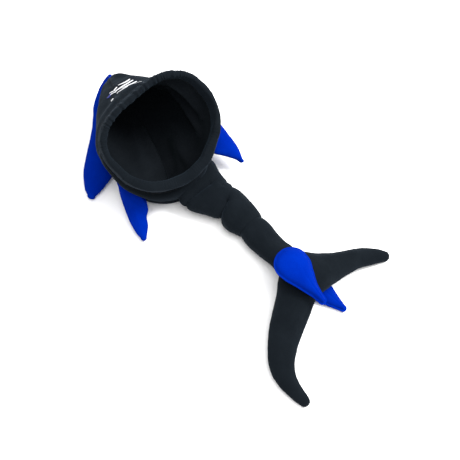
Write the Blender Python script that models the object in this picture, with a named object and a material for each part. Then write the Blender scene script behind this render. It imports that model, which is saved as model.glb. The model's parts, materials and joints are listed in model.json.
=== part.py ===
"""Plush fish hat: a fleece hat shaped like a shark, laid upside down with its stuffed tail stretched out.

Metres, +Z up, +X from the crown towards the tail fin. The hat rests on its crown, with the head opening
facing up and back, the dorsal fin folded under it and the tail flat on the surface. The wearer's left is +Y.
"""

from math import cos, pi, radians, sin

import bpy
import bmesh
from mathutils import Matrix, Vector

MM = 0.001
FLEECE = 2.2 * MM  # one layer of fleece
LINING = 1.8 * MM  # the thinner lining
GAP = 0.4 * MM  # what separate pieces keep between them
LAY_SHIFT = Vector((48.0, -0.5, -0.8)) * MM  # brings the middle of the laid-out hat to the origin

AROUND_HAT = 24
AROUND_TAIL = 18
HALF_FIN = 6  # steps over half a fin's thickness, from its front edge to its rear edge


def at(x, y, z):
    """A point given in millimetres."""
    return Vector((x, y, z)) * MM


# ---------------------------------------------------------------- scene and mesh helpers


def clear_scene():
    for obj in list(bpy.data.objects):
        bpy.data.objects.remove(obj)


def material(name, colour, roughness):
    made = bpy.data.materials.new(name)
    made.use_nodes = True
    shader = made.node_tree.nodes["Principled BSDF"]
    shader.inputs["Base Color"].default_value = (*colour, 1.0)
    shader.inputs["Roughness"].default_value = roughness
    shader.inputs["Metallic"].default_value = 0.0
    return made


def add_object(name, points, faces, finish):
    """One named piece from points and faces, its normals made to face out."""
    mesh = bpy.data.meshes.new(name)
    mesh.from_pydata(points, [], faces)
    shape = bmesh.new()
    shape.from_mesh(mesh)
    bmesh.ops.recalc_face_normals(shape, faces=shape.faces)
    shape.to_mesh(mesh)
    shape.free()
    mesh.shade_smooth()
    mesh.set_sharp_from_angle(angle=radians(50))
    mesh.materials.append(finish)
    obj = bpy.data.objects.new(name, mesh)
    PARTS.objects.link(obj)
    obj.parent = ORIGIN
    return obj


def thick_sheet(name, outer, inner, wrap, finish):
    """A layer of cloth between two grids of points, closed along its edges. wrap joins each row to itself."""
    rows = len(outer)
    columns = len(outer[0])
    points = [p for grid in (outer, inner) for row in grid for p in row]
    inside = rows * columns
    faces = []
    steps = columns if wrap else columns - 1
    for r in range(rows - 1):
        for c in range(steps):
            a = r * columns + c
            b = r * columns + (c + 1) % columns
            faces.append((a, b, b + columns, a + columns))
            faces.append((inside + a, inside + a + columns, inside + b + columns, inside + b))
    for r in (0, rows - 1):
        for c in range(steps):
            a = r * columns + c
            b = r * columns + (c + 1) % columns
            faces.append((a, b, inside + b, inside + a))
    if not wrap:
        for c in (0, columns - 1):
            for r in range(rows - 1):
                a = r * columns + c
                faces.append((a, a + columns, inside + a + columns, inside + a))
    return add_object(name, points, faces, finish)


def filled_loft(name, rings, finish):
    """A solid through a row of closed rings, with flat ends."""
    around = len(rings[0])
    points = [p for ring in rings for p in ring]
    faces = []
    for r in range(len(rings) - 1):
        for c in range(around):
            a = r * around + c
            b = r * around + (c + 1) % around
            faces.append((a, b, b + around, a + around))
    faces.append(tuple(range(around)))
    faces.append(tuple((len(rings) - 1) * around + c for c in range(around)))
    return add_object(name, points, faces, finish)


def ellipse(centre, across, up, count, start=0.0):
    """Points round an ellipse whose half axes are the vectors across and up."""
    turn = 2 * pi / count
    return [centre + across * cos(start + i * turn) + up * sin(start + i * turn) for i in range(count)]


# ---------------------------------------------------------------- the hat

CROWN_AT = at(-265, 44, 73)  # the middle of the crown, where the hat's own frame starts
HAT_YAW = radians(-8)  # the hat is turned this much from the tail's line
HAT_ROLL = radians(14)  # and rolled this much towards the wearer's right
HAT_TURN = Matrix.Rotation(HAT_YAW, 3, "Z") @ Matrix.Rotation(HAT_ROLL, 3, "X")
# Cross sections from the rim to the crown, in the hat's own frame: distance back, to the left and up,
# lean of the section, half width from side to side, reach to the front and to the back, how square the
# front is (1 is an ellipse), and how far the cloth sags. The last is the seam along the crown.
HAT_SECTIONS = (
    (106, 5, 68, 36, 99, 81, 88, 0.72, 0),
    (91, 0, 50, 40, 98, 82, 93, 0.75, 17),
    (73, -3, 31, 46, 94, 83, 90, 0.82, 30),
    (46, -3, 14, 52, 89, 79, 84, 0.9, 22),
    (15, -1, 3, 57, 81, 73, 78, 0.95, 6),
    (-14, 3, -6, 62, 67, 66, 66, 1, 0),
    (-38, 7, -13, 66, 50, 58, 56, 1, 0),
    (-56, 9, -17, 70, 32, 50, 46, 1, 0),
    (-68, 11, -19, 72, 14, 43, 36, 1, 0),
    (-74, 11, -20, 72, 2, 39, 28, 1, 0),
)
SAG_AT = radians(249)  # the low side, between the right and the back, where the loose cloth gathers
CUFF_DEPTH = 0.8  # how far down the hat the hem reaches on both sides, in sections
PANEL_ROWS = (0, 0.4, 0.8, 1.4, 2, 3, 4, 5, 6, 7, 8, 9)
CUFF_WALL = 1.8 * MM
ELASTIC_THICK = 1.0 * MM

FRONT = pi / 2  # angles round the hat: 0 is the wearer's left, then the front, the right and the back
BACK = 3 * pi / 2


def hat_section(u):
    """Cross section u of the hat, blended between the listed ones: its centre, then vectors to its
    left, its front and its back, its squareness and its sag."""
    low = max(0, min(int(u), len(HAT_SECTIONS) - 2))
    share = u - low
    back, side, height, lean, wide, front, rear, square, sag = (
        a + (b - a) * share for a, b in zip(HAT_SECTIONS[low], HAT_SECTIONS[low + 1])
    )
    lean = radians(lean)
    centre = CROWN_AT + HAT_TURN @ at(back, side, height)
    to_left = HAT_TURN @ Vector((0, 1, 0))
    to_front = HAT_TURN @ Vector((-cos(lean), 0, sin(lean)))
    return centre, to_left * wide * MM, to_front * front * MM, to_front * -rear * MM, square, sag * MM


def on_hat(u, angle, out=0.0):
    """A point of the hat's outer surface, or one that stands out from it."""
    def surface(u, angle):
        centre, left, front, rear, square, sag = hat_section(u)
        if sin(angle) < 0:
            point = centre + left * cos(angle) - rear * sin(angle)
            return point + (point - centre).normalized() * sag * max(0, cos(angle - SAG_AT)) ** 4
        across = abs(cos(angle)) ** square
        if cos(angle) < 0:
            across = -across
        return centre + left * across + front * sin(angle) ** square

    point = surface(u, angle)
    if not out:
        return point
    step = 0.02
    near = max(0.0, min(u, len(HAT_SECTIONS) - 1 - 2 * step))
    along = surface(near + step, angle) - surface(near, angle)
    across = surface(near, angle + step) - surface(near, angle - step)
    return point + along.cross(across).normalized() * out


def kept_to_side(point, u, side):
    """The point, moved off the hat's middle if it has crossed it. side is 1 for the left."""
    to_left = HAT_TURN @ Vector((0, 1, 0))
    over = (point - hat_section(u)[0]).dot(to_left) * side
    if over >= GAP:
        return point
    return point + to_left * side * (GAP - over)


def hat_panel(name, side, outside, thickness, finish):
    """Half of the hat, from the rim to the crown seam. side is 1 for the wearer's left."""
    half = AROUND_HAT // 2
    start = -pi / 2 if side > 0 else pi / 2
    angles = [start + pi * c / half for c in range(half + 1)]

    def grid(out):
        return [[kept_to_side(on_hat(u, a, out), u, side) for a in angles] for u in PANEL_ROWS]

    return thick_sheet(name, grid(outside), grid(outside - thickness), False, finish)


def rim_up():
    centre, left, front, rear, square, sag = hat_section(0)
    return left.cross(front).normalized()


def hem_grid(rows):
    """Points round the rim for rows of (section, distance out, height above the rim)."""
    angles = [2 * pi * c / AROUND_HAT for c in range(AROUND_HAT)]
    up = rim_up()
    return [[on_hat(u, a, out) + up * stand for a in angles] for u, out, stand in rows]


def make_hat():
    wall = FLEECE + GAP + LINING
    for side, word in ((1, "left"), (-1, "right")):
        hat_panel(f"crown_{word}_panel", side, 0.0, FLEECE, BLACK_FLEECE)
        hat_panel(f"lining_{word}_panel", side, -FLEECE - GAP, LINING, BLACK_LINING)
    stand = 5 * MM
    room = GAP + 0.7 * MM
    inner_rows = [
        (CUFF_DEPTH, room, 0),
        (CUFF_DEPTH / 2, room, 0),
        (0, room, 0),
        (0, room - 0.5 * MM, stand * 0.7),
        (0, -wall / 2, stand),
        (0, -wall - room + 0.5 * MM, stand * 0.7),
        (0, -wall - room, 0),
        (CUFF_DEPTH / 2, -wall - room, 0),
        (CUFF_DEPTH, -wall - room, 0),
    ]
    outer_rows = [
        (CUFF_DEPTH, room + CUFF_WALL, 0),
        (CUFF_DEPTH / 2, room + CUFF_WALL, 0),
        (0, room + CUFF_WALL, 0),
        (0, room + CUFF_WALL - 0.6 * MM, stand * 0.7 + CUFF_WALL * 0.7),
        (0, -wall / 2, stand + CUFF_WALL),
        (0, -wall - room - CUFF_WALL + 0.6 * MM, stand * 0.7 + CUFF_WALL * 0.7),
        (0, -wall - room - CUFF_WALL, 0),
        (CUFF_DEPTH / 2, -wall - room - CUFF_WALL, 0),
        (CUFF_DEPTH, -wall - room - CUFF_WALL, 0),
    ]
    thick_sheet("cuff", hem_grid(outer_rows), hem_grid(inner_rows), True, BLACK_FLEECE)
    # The elastic lies in the fold of the hem, just above the edge of the panels.
    band = [(0, -wall / 2 + ELASTIC_THICK / 2, GAP), (0, -wall / 2 + ELASTIC_THICK / 2, stand * 0.7)]
    back = [(0, -wall / 2 - ELASTIC_THICK / 2, GAP), (0, -wall / 2 - ELASTIC_THICK / 2, stand * 0.7)]
    thick_sheet("cuff_elastic", hem_grid(band), hem_grid(back), True, WHITE_ELASTIC)
    make_badge()


BADGE_MIDDLE = 3.0  # in sections from the rim
BADGE_HALF_HEIGHT = 0.8
BADGE_HALF_ANGLE = radians(24)
BADGE_AT = FRONT - radians(8)
BADGE_THICK = 1.2 * MM
BADGE_STAND_OFF = 0.9 * MM


def make_badge():
    """An oval embroidered badge, curved to the front of the hat."""
    steps = 8
    outer = []
    inner = []
    for r in range(5):
        across = -1 + r / 2
        reach = (1 - 0.55 * across * across) * BADGE_HALF_ANGLE
        u = BADGE_MIDDLE + across * BADGE_HALF_HEIGHT
        angles = [BADGE_AT + reach * (-1 + 2 * c / steps) for c in range(steps + 1)]
        outer.append([on_hat(u, a, BADGE_STAND_OFF + BADGE_THICK) for a in angles])
        inner.append([on_hat(u, a, BADGE_STAND_OFF) for a in angles])
    thick_sheet("front_badge", outer, inner, False, BADGE_THREAD)


# ---------------------------------------------------------------- stuffed fins

SEAM = 0.25 * MM  # half the gap between a fin's two panels
SEAM_ALLOWANCE = 3.6 * MM  # how far the panels' inner face stays inside the fin's edge


def fin_normals(ribs):
    """The direction through the fin's thickness at each rib, square to its chord and its length."""
    made = []
    middles = [(lead + trail) / 2 for lead, trail, thick in ribs]
    for i, (lead, trail, thick) in enumerate(ribs):
        before = middles[max(i - 1, 0)]
        after = middles[min(i + 1, len(ribs) - 1)]
        normal = (lead - trail).cross(after - before).normalized()
        if made and normal.dot(made[-1]) < 0:
            normal.negate()
        made.append(normal)
    return made


def rounded_root(ribs, flat=False):
    """The ribs with two more before the first, which round off the end that is sewn to the hat."""
    lead, trail, thick = ribs[0]
    next_middle = (ribs[1][0] + ribs[1][1]) / 2
    middle = (lead + trail) / 2
    chord = (lead - trail).normalized()
    away = next_middle - middle
    away = (away - chord * away.dot(chord)).normalized()
    made = []
    for back, share, trim in ((0.92, 0.45, 0.93), (0.6, 0.82, 0.98)):
        move = away * -back * thick
        made.append((middle + (lead - middle) * trim + move, middle + (trail - middle) * trim + move, share * thick))
    return made + list(ribs)


def stuffed_fin(name, ribs, sides, finish):
    """Two sewn panels with a filling between them. ribs are (front edge, rear edge, half thickness)."""
    normals = fin_normals(ribs)
    for word, facing in zip(sides, (1, -1)):
        outer = []
        inner = []
        for (lead, trail, thick), normal in zip(ribs, normals):
            middle = (lead + trail) / 2
            half = (lead - trail) / 2
            short = half * max(0.35, 1 - SEAM_ALLOWANCE / half.length)
            seam = normal * facing * SEAM
            up = normal * facing * thick
            low = normal * facing * max(thick - FLEECE, thick * 0.3)
            steps = [pi * c / HALF_FIN for c in range(HALF_FIN + 1)]
            outer.append([middle + seam + half * cos(a) + up * sin(a) for a in steps])
            inner.append([middle + seam + short * cos(a) + low * sin(a) for a in steps])
        thick_sheet(f"{name}_{word}_panel", outer, inner, False, finish)
    rings = []
    for (lead, trail, thick), normal in list(zip(ribs, normals))[1:-1]:
        middle = (lead + trail) / 2
        half = (lead - trail) / 2
        room = SEAM_ALLOWANCE + 5.2 * MM
        if half.length < room + 2 * MM or thick < FLEECE + 4 * MM:
            continue
        across = half * (1 - room / half.length)
        rings.append(ellipse(middle, across, normal * (thick - FLEECE - 2.4 * MM), 2 * HALF_FIN))
    filled_loft(f"{name}_filling", rings, FILLING)


def with_ribs_between(ribs):
    """The ribs with one more between each two, on a smooth line through their neighbours."""
    made = []
    for i in range(len(ribs) - 1):
        before, here, there, after = (ribs[min(max(k, 0), len(ribs) - 1)] for k in (i - 1, i, i + 1, i + 2))
        made.append(here)
        made.append(tuple(
            (here[k] + there[k]) * 0.5625 - (before[k] + after[k]) * 0.0625 for k in range(3)
        ))
    return made + [ribs[-1]]


def ribs_in_mm(rows):
    """Ribs from rows of front edge x, y, z, rear edge x, y, z and half thickness."""
    return [(at(*row[0:3]), at(*row[3:6]), row[6] * MM) for row in rows]


# Ribs are front edge x, y, z, rear edge x, y, z and half thickness, from the root to the tip.
DORSAL_RIBS = (
    (-362, 74, 80, -353, 52, 22, 9),
    (-372, 58, 62, -354, 30, 15, 9.5),
    (-369, 30, 38, -338, 12, 11, 10),
    (-343, -7, 15, -298, 0, 11, 10.5),
    (-312, -47, 14, -255, -17, 11, 11),
    (-287, -80, 12, -242, -48, 11, 10),
    (-261, -102, 10, -235, -81, 10, 9),
    (-244, -112, 9, -231, -102, 9, 7),
)
RIGHT_PECTORAL_RIBS = (
    (-221, -70, 40, -149, -66, 32, 10),
    (-210, -74, 33, -141, -69, 27, 10.5),
    (-190, -82, 23, -133, -76, 21, 10),
    (-153, -97, 16, -119, -84, 16, 9),
    (-124, -107, 12, -108, -93, 11, 7.5),
    (-108, -109, 9, -101, -101, 9, 6),
)
LEFT_PECTORAL_RIBS = (
    (-172, 138, 88, -125, 95, 55, 10),
    (-152, 139, 69, -117, 90, 48, 10.5),
    (-128, 137, 54, -104, 99, 43, 10),
    (-106, 134, 43, -91, 108, 38, 9),
    (-89, 129, 34, -83, 115, 31, 7.5),
    (-79, 124, 28, -77, 117, 27, 6),
)


def make_hat_fins():
    ribs = rounded_root(with_ribs_between(ribs_in_mm(DORSAL_RIBS)))
    stuffed_fin("dorsal_fin", ribs, ("left", "right"), BLUE_FLEECE)
    for word, rows in (("right", RIGHT_PECTORAL_RIBS), ("left", LEFT_PECTORAL_RIBS)):
        ribs = rounded_root(ribs_in_mm(rows))
        stuffed_fin(f"{word}_pectoral_fin", ribs, ("front", "rear"), BLUE_FLEECE)


# ---------------------------------------------------------------- the tail

# The tail bends where it is gathered. Each length starts with a round end, centred on its hinge, that
# turns inside the open end of the length before it.
# Each hinge: x, y, z, heading in degrees, half width and half height of the round end.
TAIL_HINGES = (
    (-73, 31.5, 25.5, 14, 38.5, 23.5),
    (-48, 36, 26, 16, 30, 21),
    (19, 31.5, 23, -7, 22.5, 18),
)
# Each length's middle part: x, y, z, half width, half height.
TAIL_MIDDLES = (
    ((-58, 34, 27.5, 38.5, 26),),
    ((-24, 34, 27, 33.5, 26), (-4, 32.5, 26, 32, 25), (10, 32, 24, 28, 22)),
    ((40, 28, 23, 26, 22), (60, 23.5, 24, 25, 21), (82, 20, 28, 24, 19), (99, 19.5, 32, 23, 15)),
)
TAIL_FULL_TO = (-70, 2, 100)  # the filling of each length stops here
FILLING_SHORT = 4 * MM  # and its end stays this far back from the next length's round end
SOCKET_ROOM = 1.0 * MM
THREAD = 0.6 * MM


def tail_stations(number):
    """(centre, direction across, half width, half height) along one length of the tail."""
    x, y, z, heading, wide, high = TAIL_HINGES[number]
    along = Matrix.Rotation(radians(heading), 3, "Z") @ Vector((1, 0, 0))
    across = Matrix.Rotation(radians(heading), 3, "Z") @ Vector((0, 1, 0))
    hinge = at(x, y, z)
    stations = []
    for degrees in (-42, -28, -14, 0, 17):
        size = cos(radians(degrees))
        centre = hinge + along * sin(radians(degrees)) * wide * MM
        stations.append((centre, across, wide * MM * size, high * MM * size))
    middles = TAIL_MIDDLES[number]
    for x, y, z, wide, high in middles:
        stations.append((at(x, y, z), across, wide * MM, high * MM))
    if number + 1 < len(TAIL_HINGES):
        x, y, z, heading, wide, high = TAIL_HINGES[number + 1]
        across = Matrix.Rotation(radians(heading), 3, "Z") @ Vector((0, 1, 0))
        room = SOCKET_ROOM + FLEECE
        stations.append((at(x, y, z) - across.cross(Vector((0, 0, 1))) * 8 * MM, across,
                         wide * MM + room * 1.4, high * MM + room * 1.3))
        stations.append((at(x, y, z), across, wide * MM + room, high * MM + room))
    return stations


def tail_ring(station, less):
    centre, across, wide, high = station
    return ellipse(centre, across * (wide - less), Vector((0, 0, high - less)), AROUND_TAIL)


def make_tail():
    for number in range(len(TAIL_HINGES)):
        stations = tail_stations(number)
        outer = [tail_ring(s, 0) for s in stations]
        inner = [tail_ring(s, FLEECE) for s in stations]
        thick_sheet(f"tail_length_{number + 1}_cover", outer, inner, True, BLACK_FLEECE)
        stuffed = [s for s in stations[1:] if s[0].x < TAIL_FULL_TO[number] * MM]
        centre, across, wide, high = stuffed[-1]
        along = across.cross(Vector((0, 0, 1)))
        stuffed[-1] = (centre - along * FILLING_SHORT, across, wide - 2 * MM, high - 2 * MM)
        fill = [tail_ring(s, FLEECE + 2 * GAP) for s in stuffed]
        filled_loft(f"tail_length_{number + 1}_filling", fill, FILLING)


def make_threads():
    """A gathering thread round each crease, just past the end of the length before it."""
    for number, (x, y, z, heading, wide, high) in enumerate(TAIL_HINGES[1:], start=1):
        turn = Matrix.Rotation(radians(heading), 3, "Z")
        centre = at(x, y, z) + turn @ Vector((THREAD + GAP, 0, 0))
        across = turn @ Vector((0, wide * MM + THREAD + GAP, 0))
        up = Vector((0, 0, high * MM + THREAD + GAP))
        line = bpy.data.curves.new(f"gather_thread_{number}", "CURVE")
        line.dimensions = "3D"
        line.bevel_depth = THREAD
        line.bevel_resolution = 1
        path = line.splines.new("POLY")
        round_neck = ellipse(centre, across, up, 28)
        path.points.add(len(round_neck) - 1)
        for point, place in zip(path.points, round_neck):
            point.co = (*place, 1)
        path.use_cyclic_u = True
        guide = bpy.data.objects.new("thread_path", line)
        PARTS.objects.link(guide)
        mesh = bpy.data.meshes.new_from_object(guide.evaluated_get(bpy.context.evaluated_depsgraph_get()))
        bpy.data.objects.remove(guide)
        mesh.materials.clear()
        mesh.materials.append(BLACK_THREAD)
        thread = bpy.data.objects.new(f"gather_thread_{number}", mesh)
        PARTS.objects.link(thread)
        thread.parent = ORIGIN


# ---------------------------------------------------------------- the tail fin and its small side fins

# From the tip of the long lobe, past the end of the tail, to the tip of the short lobe.
TAIL_FIN_RIBS = (
    (277, -148, 8, 279, -137, 8, 6.5),
    (255, -151, 9.5, 261, -129, 9.5, 8),
    (227, -150, 11.5, 246, -121, 11.5, 9.5),
    (200, -137, 14, 232, -108, 14, 11),
    (176, -113, 18, 219, -84, 17, 12.5),
    (155, -82, 23, 210, -60, 21, 14),
    (136, -46, 29, 203, -38, 26, 15.5),
    (117, -14, 36, 196, -17, 33, 16.5),
    (107, 16, 37, 191, 2, 35, 17),
    (112, 42, 36, 194, 20, 33, 16.5),
    (135, 63, 28, 198, 46, 26, 15),
    (161, 92, 21, 204, 70, 20, 12.5),
    (183, 124, 15, 212, 97, 14, 10.5),
    (205, 143, 11, 224, 121, 11, 8.5),
    (226, 152, 8.5, 234, 141, 8.5, 6.5),
)
UPPER_SMALL_FIN = (
    (103, 22, 69, 99, -6, 69, 8),
    (111, 32, 70, 107, -16, 70, 10),
    (129, 33, 71, 123, -24, 71, 11),
    (151, 26, 69, 146, -23, 69, 11),
    (173, 14, 64, 169, -18, 64, 9.5),
    (191, 4, 59, 188, -14, 59, 8),
    (204, -2, 55, 202, -11, 55, 6),
)
LOWER_SMALL_FIN = (
    (118, 48, 7.5, 117, 6, 7.5, 6),
    (140, 55, 7.5, 139, 2, 7.5, 6.5),
    (165, 51, 7.5, 165, 1, 7.5, 6.5),
    (190, 44, 7.5, 192, 4, 7.5, 6.5),
    (212, 36, 7, 214, 11, 7, 6),
    (229, 28, 6.5, 231, 18, 6.5, 5.5),
)


def make_tail_fin():
    stuffed_fin("tail_fin", ribs_in_mm(TAIL_FIN_RIBS), ("lower", "upper"), BLACK_FLEECE)
    for word, rows in (("upper", UPPER_SMALL_FIN), ("lower", LOWER_SMALL_FIN)):
        ribs = rounded_root(ribs_in_mm(rows))
        stuffed_fin(f"{word}_small_fin", ribs, ("outer", "inner"), BLUE_FLEECE)


clear_scene()
PARTS = bpy.data.collections.new("plush_fish_hat")
bpy.context.scene.collection.children.link(PARTS)
ORIGIN = bpy.data.objects.new("hat_origin", None)
ORIGIN.location = LAY_SHIFT
PARTS.objects.link(ORIGIN)

BLACK_FLEECE = material("black_fleece", (0.012, 0.013, 0.016), 0.95)
BLACK_LINING = material("black_lining", (0.010, 0.011, 0.014), 0.95)
BLUE_FLEECE = material("blue_fleece", (0.004, 0.045, 0.42), 0.9)
BADGE_THREAD = material("badge_thread", (0.75, 0.76, 0.78), 0.6)
BLACK_THREAD = material("black_thread", (0.01, 0.01, 0.012), 0.8)
WHITE_ELASTIC = material("white_elastic", (0.8, 0.8, 0.78), 0.7)
FILLING = material("polyester_filling", (0.85, 0.85, 0.84), 1.0)

make_hat()
make_hat_fins()
make_tail()
make_threads()
make_tail_fin()
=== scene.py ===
"""Looks of a fleece hat shaped like a shark, laid upside down with its stuffed tail stretched out.

Pieces come in the order they are sewn: hat, lining, hem, emblem, tail, tail fin, then the blue fins.
Metres, +Z up, +X from the crown towards the tail fin, the wearer's left at +Y.
"""

import json
from math import ceil, cos, pi, radians, sin

import bmesh
import bpy
import numpy as np
from mathutils import Matrix, Vector, noise


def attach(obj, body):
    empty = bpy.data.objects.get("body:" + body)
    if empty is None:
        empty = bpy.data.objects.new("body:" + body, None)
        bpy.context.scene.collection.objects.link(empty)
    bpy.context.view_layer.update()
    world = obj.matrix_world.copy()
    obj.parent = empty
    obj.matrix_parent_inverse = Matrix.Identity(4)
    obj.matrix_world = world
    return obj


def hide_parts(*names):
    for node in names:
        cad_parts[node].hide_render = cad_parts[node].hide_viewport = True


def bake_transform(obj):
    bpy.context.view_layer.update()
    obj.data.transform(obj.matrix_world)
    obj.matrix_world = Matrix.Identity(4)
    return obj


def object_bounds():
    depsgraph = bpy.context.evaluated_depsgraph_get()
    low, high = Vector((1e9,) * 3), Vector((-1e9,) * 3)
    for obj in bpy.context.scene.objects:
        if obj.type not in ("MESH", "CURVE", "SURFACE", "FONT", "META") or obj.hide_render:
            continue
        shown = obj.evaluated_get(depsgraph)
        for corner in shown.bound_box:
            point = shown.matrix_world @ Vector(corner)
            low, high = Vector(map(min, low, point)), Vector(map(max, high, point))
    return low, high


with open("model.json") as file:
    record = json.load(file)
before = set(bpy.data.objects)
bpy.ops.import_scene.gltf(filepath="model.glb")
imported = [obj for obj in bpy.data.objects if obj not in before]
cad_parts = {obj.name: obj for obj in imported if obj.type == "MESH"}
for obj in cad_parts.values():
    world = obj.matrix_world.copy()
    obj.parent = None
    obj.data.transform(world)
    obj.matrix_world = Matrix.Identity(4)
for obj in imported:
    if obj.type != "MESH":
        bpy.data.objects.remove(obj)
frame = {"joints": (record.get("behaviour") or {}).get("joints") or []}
cad_low, cad_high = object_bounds()

# ---- crown panels: two panels of black fleece, seamed over the top of the head from brow to nape.
# The hat lies on that seam, so the cloth under the rim has gone slack and stacks in soft folds.

MM = 0.001
LAY_SHIFT = np.array((48.0, -0.5, -0.8)) * MM  # from the sewing pattern's own origin to the frame's
FLEECE = 2.2 * MM
CROWN_AT = np.array((-265.0, 44.0, 73.0)) * MM
HAT_TURN = np.array(Matrix.Rotation(radians(-8), 3, "Z") @ Matrix.Rotation(radians(14), 3, "X"))
# From the rim to the crown: distance back, left and up, lean of the section, half width, reach to the
# front and to the back, how square the front is (1 is an ellipse) and how far the cloth sags.
HAT_SECTIONS = (
    (106, 8, 68, 36, 99, 81, 86, 0.67, 0),
    (91, 3, 50, 40, 98, 82, 90, 0.71, 3),
    (73, -3, 31, 46, 94, 83, 90, 0.82, 30),
    (46, -3, 14, 52, 89, 79, 84, 0.9, 22),
    (15, -1, 3, 57, 81, 73, 78, 0.95, 6),
    (-14, 3, -6, 62, 67, 66, 66, 1, 0),
    (-38, 7, -13, 66, 50, 58, 56, 1, 0),
    (-56, 9, -17, 70, 32, 50, 46, 1, 0),
    (-68, 11, -19, 72, 14, 43, 36, 1, 0),
    (-74, 11, -20, 72, 2, 39, 28, 1, 0),
)
CROWN_SEAM = len(HAT_SECTIONS) - 1
SAG_AT = radians(255)
# Soft folds, as (section, degrees) to (section, degrees), half width and height in millimetres. A crease
# has a height below nothing.
# Degrees run round the hat from the wearer's left by the front and the right to the back.
OUTER_FOLDS = (
    (1.42, 160, 1.36, 292, 7, 8),
    (2.55, 190, 2.3, 305, 11, 9),
    (2.9, 246, 2.5, 318, 14, 13),
    (1.92, 176, 1.84, 290, 3.2, -13),
    (1.0, 150, 1.0, 300, 3.2, -12),
    (2.2, 150, 4.6, 185, 10, 3),
    (1.7, 60, 3.6, 100, 11, 2.2),
    (5.0, 58, 8.2, 72, 13, 6),
    (4.5, 120, 7.8, 110, 8, 2.2),
    (3.8, 262, 6.5, 300, 9, 3),
    (1.5, 350, 2.6, 20, 14, 4),
)
# Where the rim stands out or in: middle and half width in degrees, and how far in millimetres.
RIM_BULGES = ((10, 26, 4.5), (304, 16, -3.0))
# Folds are measured on the hat as if it were unrolled with these sizes.
FOLD_SECTION_SPACING = 24 * MM
FOLD_MEAN_RADIUS = 82 * MM


def smooth_rows(rows, place):
    """Rows of numbers read at place, an array in row numbers, on a smooth line through the rows."""
    rows = np.array(rows, float)
    rows = np.vstack((2 * rows[0] - rows[1], rows, 2 * rows[-1] - rows[-2]))
    place = np.asarray(place, float)
    first = np.clip(np.floor(place).astype(int), 0, len(rows) - 4)
    t = (place - first)[..., None]
    before, here, there, after = (rows[first + k] for k in range(4))
    bend = 2 * before - 5 * here + 4 * there - after
    turn = -before + 3 * here - 3 * there + after
    return here + 0.5 * t * (there - before + t * (bend + t * turn))


def hat_frame(u):
    """The middle of section u and the vectors to its left, its front and its back."""
    section = np.moveaxis(smooth_rows(HAT_SECTIONS, u), -1, 0)
    back, side, height, lean, wide, front, rear, square, sag = section
    centre = CROWN_AT + np.stack((back, side, height), -1) * MM @ HAT_TURN.T
    lean = np.radians(lean)
    to_front = np.stack((-np.cos(lean), 0 * lean, np.sin(lean)), -1) @ HAT_TURN.T
    left = HAT_TURN[:, 1] * np.maximum(wide, 2)[..., None] * MM
    return centre, left, to_front * front[..., None] * MM, to_front * rear[..., None] * MM, square, sag * MM


def bare_hat(u, angle):
    """Points of the hat before it creases. u and angle are arrays of one shape."""
    centre, left, front, rear, square, sag = hat_frame(u)
    c, s = np.cos(angle), np.sin(angle)
    wide = np.where(s < 0, c, np.sign(c) * np.abs(c) ** square)[..., None]
    deep = np.where(s < 0, s, np.abs(s) ** square)[..., None]
    point = centre + left * wide + np.where(s[..., None] < 0, rear, front) * deep
    away = point - centre
    away /= np.linalg.norm(away, axis=-1, keepdims=True)
    slack = sag * np.maximum(0, np.cos(angle - SAG_AT)) ** 4 * (s < 0)
    near_rim = np.clip(1 - u / 2.5, 0, 1)
    for degrees, half_width, out in RIM_BULGES:
        turn = (angle - radians(degrees) + pi) % (2 * pi) - pi
        slack = slack + out * MM * np.exp(-(turn / radians(half_width)) ** 2) * near_rim
    return point + away * slack[..., None] + LAY_SHIFT


def fold_height(u, angle, folds):
    """How far the folds lift the cloth at each point."""
    x, y = u * FOLD_SECTION_SPACING, angle * FOLD_MEAN_RADIUS
    lift = np.zeros_like(u)
    for u1, degrees1, u2, degrees2, half_width, height in folds:
        for turn in (-2 * pi, 0, 2 * pi):
            ax, ay = u1 * FOLD_SECTION_SPACING, (radians(degrees1) + turn) * FOLD_MEAN_RADIUS
            bx, by = u2 * FOLD_SECTION_SPACING, (radians(degrees2) + turn) * FOLD_MEAN_RADIUS
            length2 = (bx - ax) ** 2 + (by - ay) ** 2
            t = np.clip(((x - ax) * (bx - ax) + (y - ay) * (by - ay)) / length2, 0, 1)
            gap2 = (x - ax - t * (bx - ax)) ** 2 + (y - ay - t * (by - ay)) ** 2
            ends = np.sin(np.clip(t, 0.04, 0.96) * pi) ** 0.6
            lift += height * MM * ends * np.exp(-gap2 / (half_width * MM) ** 2)
    return lift


def cloth_noise(points, size, seed):
    """Smooth unevenness from -1 to 1 over features of that size."""
    flat = points.reshape(-1, 3) / size + seed * 17.3
    return np.array([noise.noise(Vector(p)) for p in flat]).reshape(points.shape[:-1])


def off_hat(u, angle, out):
    """Points that stand out from the hat by the array out."""
    step = 0.02
    near = np.clip(u, step, CROWN_SEAM - step)
    along = bare_hat(near + step, angle) - bare_hat(near - step, angle)
    across = bare_hat(near, angle + step) - bare_hat(near, angle - step)
    normal = np.cross(along, across)
    normal /= np.linalg.norm(normal, axis=-1, keepdims=True)
    return bare_hat(u, angle) + normal * out[..., None]


def make_piece(name, points, faces, finish):
    """A closed mesh with its faces outward, shaded smooth."""
    mesh = bpy.data.meshes.new(name)
    mesh.from_pydata([tuple(p) for p in np.reshape(points, (-1, 3))], [], faces)
    shape = bmesh.new()
    shape.from_mesh(mesh)
    bmesh.ops.remove_doubles(shape, verts=shape.verts, dist=0.00002)
    bmesh.ops.recalc_face_normals(shape, faces=shape.faces)
    shape.to_mesh(mesh)
    shape.free()
    mesh.shade_smooth()
    mesh.materials.append(finish)
    piece = bpy.data.objects.new(name, mesh)
    bpy.context.scene.collection.objects.link(piece)
    return piece


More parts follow.
